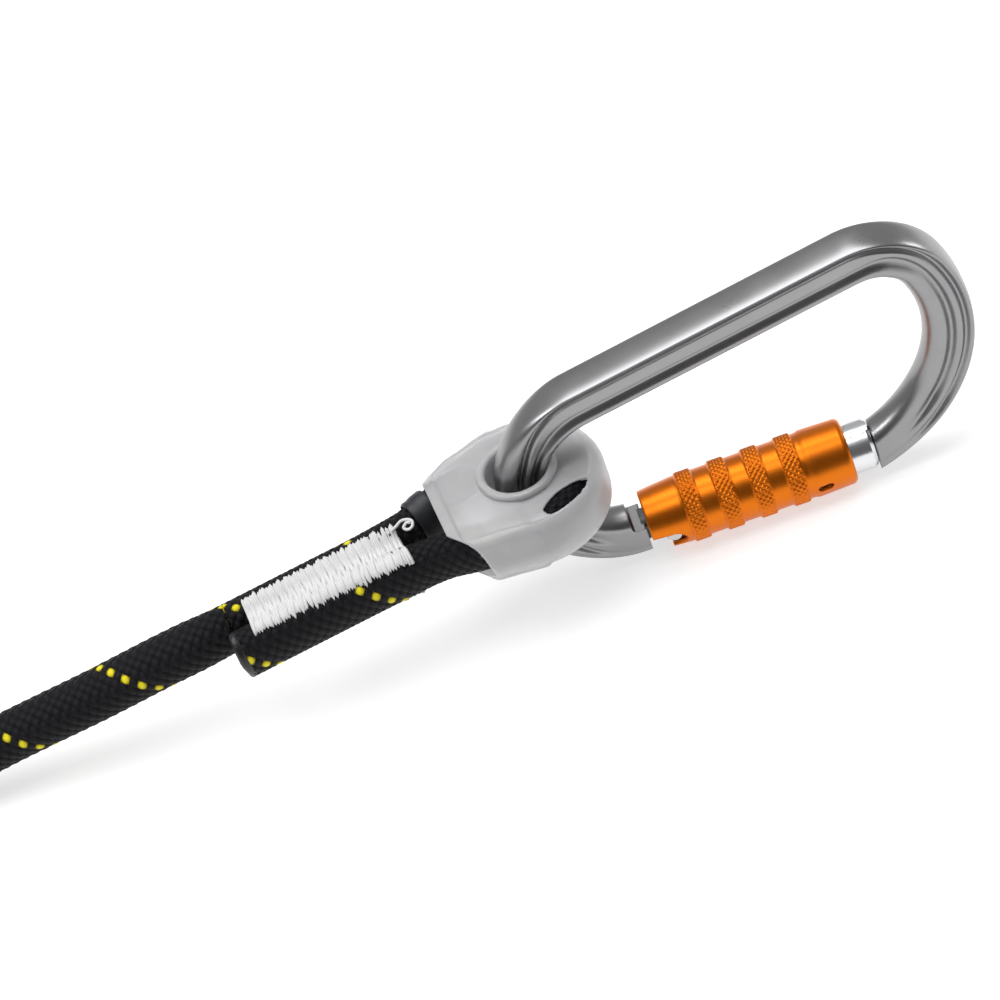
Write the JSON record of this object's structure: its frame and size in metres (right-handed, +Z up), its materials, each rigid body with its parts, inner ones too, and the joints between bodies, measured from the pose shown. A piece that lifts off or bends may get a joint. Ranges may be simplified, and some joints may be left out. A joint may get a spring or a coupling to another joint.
{
  "type": "rope end with carabiner",
  "caption": "End of a kernmantle rope: sewn eye in a translucent thimble, carrying a D carabiner with a lift, twist and open gate; the rest of the rope is tied in a hank.",
  "frame": {"origin": "on the ground, under the middle of the object without its free rope", "axes": "+X along the gate to the nose, the rope leaves towards -X; +Z up; the carabiner stands in the XZ plane on its gate"},
  "size_m": [0.4815, 0.1105, 0.0704],
  "materials": {
    "frame_alloy": "satin forged and tumbled aluminium",
    "gate_alloy": "bright polished aluminium",
    "rivet_steel": "stainless steel, turned",
    "spring_steel": "drawn spring wire",
    "sleeve_orange": "orange anodised aluminium, knurled bands",
    "bush_plastic": "moulded acetal",
    "thimble_plastic": "translucent frosted moulded plastic",
    "rope_sheath": "black braided sheath with a yellow tracer",
    "rope_seal": "melted rope end",
    "shrink_black": "black shrink tube",
    "thread_white": "white sewing thread",
    "tie_webbing": "black woven hook and loop tie"
  },
  "bodies": {
    "rope_body": {"thimble_cover": "thimble_plastic", "thimble_hub": "thimble_plastic", "rope_eye": "rope_sheath", "running_leg": "rope_sheath", "tail_leg": "rope_sheath", "tail_end_seal": "rope_seal", "shrink_band": "shrink_black", "stitching_front": "thread_white", "stitching_back": "thread_white", "thread_end": "thread_white", "free_rope": "rope_sheath", "rope_hank": "rope_sheath", "hank_ties": "tie_webbing", "rope_last_run": "rope_sheath", "rope_end_sleeve": "shrink_black"},
    "carabiner": {"carabiner_frame": "frame_alloy", "hinge_rivet": "rivet_steel"},
    "gate": {"gate_body": "gate_alloy", "gate_spring": "spring_steel", "gate_plunger": "rivet_steel", "guide_pin": "rivet_steel"},
    "slide": {"slide_bush": "bush_plastic", "retaining_ring": "spring_steel"},
    "sleeve": {"locking_sleeve": "sleeve_orange", "sleeve_spring": "spring_steel"}
  },
  "joints": [
    {"name": "carabiner_swing", "type": "hinge", "parent": "rope_body", "child": "carabiner", "pos_m": [-0.01707, 0.00067, 0.0303], "axis": [0, 0, 1], "range_deg": [-90, 90]},
    {"name": "gate_swing", "type": "hinge", "parent": "carabiner", "child": "gate", "pos_m": [0.01163, 0.00067, 0.0063], "axis": [0, -1, 0], "range_deg": [0, 24], "stiffness_Nm_per_rad": 0.15, "springref_deg": -20.05},
    {"name": "sleeve_lift", "type": "slide", "parent": "gate", "child": "slide", "axis": [1, 0, 0], "range_m": [0, 0.0035], "stiffness_N_per_m": 600, "springref_m": -0.004},
    {"name": "sleeve_twist", "type": "hinge", "parent": "slide", "child": "sleeve", "pos_m": [0.03, 0.00067, 0.0083], "axis": [-1, 0, 0], "range_deg": [0, 90], "stiffness_Nm_per_rad": 0.02, "springref_deg": -28.65}
  ]
}
